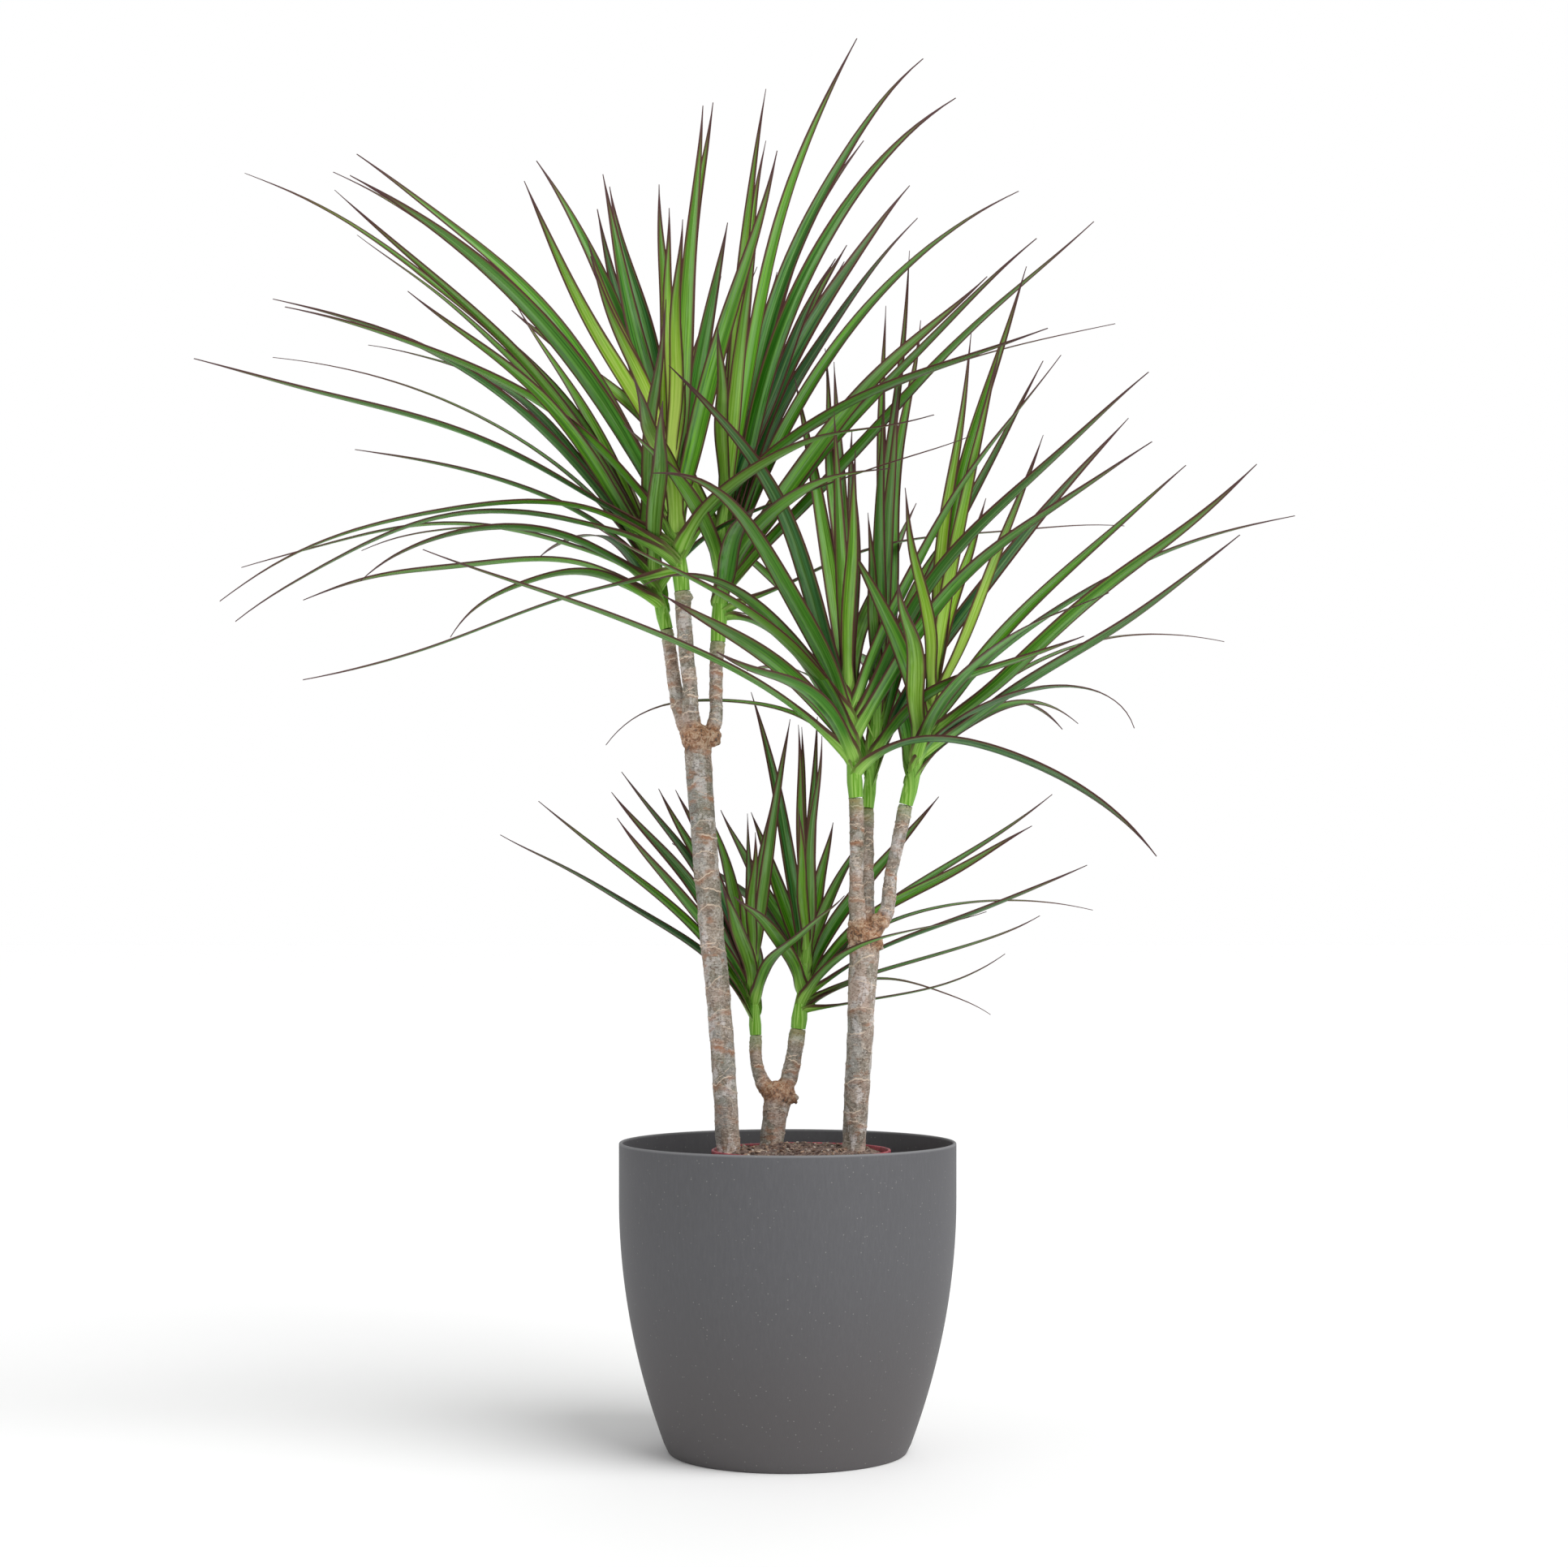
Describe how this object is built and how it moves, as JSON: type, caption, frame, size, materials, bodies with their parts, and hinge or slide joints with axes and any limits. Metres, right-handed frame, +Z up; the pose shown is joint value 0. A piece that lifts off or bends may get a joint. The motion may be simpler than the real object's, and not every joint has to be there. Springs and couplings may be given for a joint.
{
  "type": "potted dracaena",
  "caption": "Dracaena with forked bare canes and heads of long narrow arching leaves, rooted in a nursery pot inside a round dark grey cover pot.",
  "frame": {"origin": "centre of the flat underside of the cover pot", "axes": "+Z up along the pot's axis, -Y towards the viewer of the front, +X to the right"},
  "size_m": [0.9655, 0.7424, 1.2811],
  "materials": {
    "cover_pot": "matte",
    "nursery_pot": "satin",
    "soil": "matte",
    "bark": "matte",
    "leaf": "satin"
  },
  "bodies": {
    "root": {"cover_pot": "cover_pot", "nursery_pot": "nursery_pot", "soil": "soil", "cane_tall": "bark", "cane_middle": "bark", "cane_short": "bark", "head_tall_left": "leaf", "head_tall_middle": "leaf", "head_tall_right": "leaf", "head_middle_left": "leaf", "head_middle_back": "leaf", "head_middle_right": "leaf", "head_short_left": "leaf", "head_short_right": "leaf"}
  },
  "joints": []
}
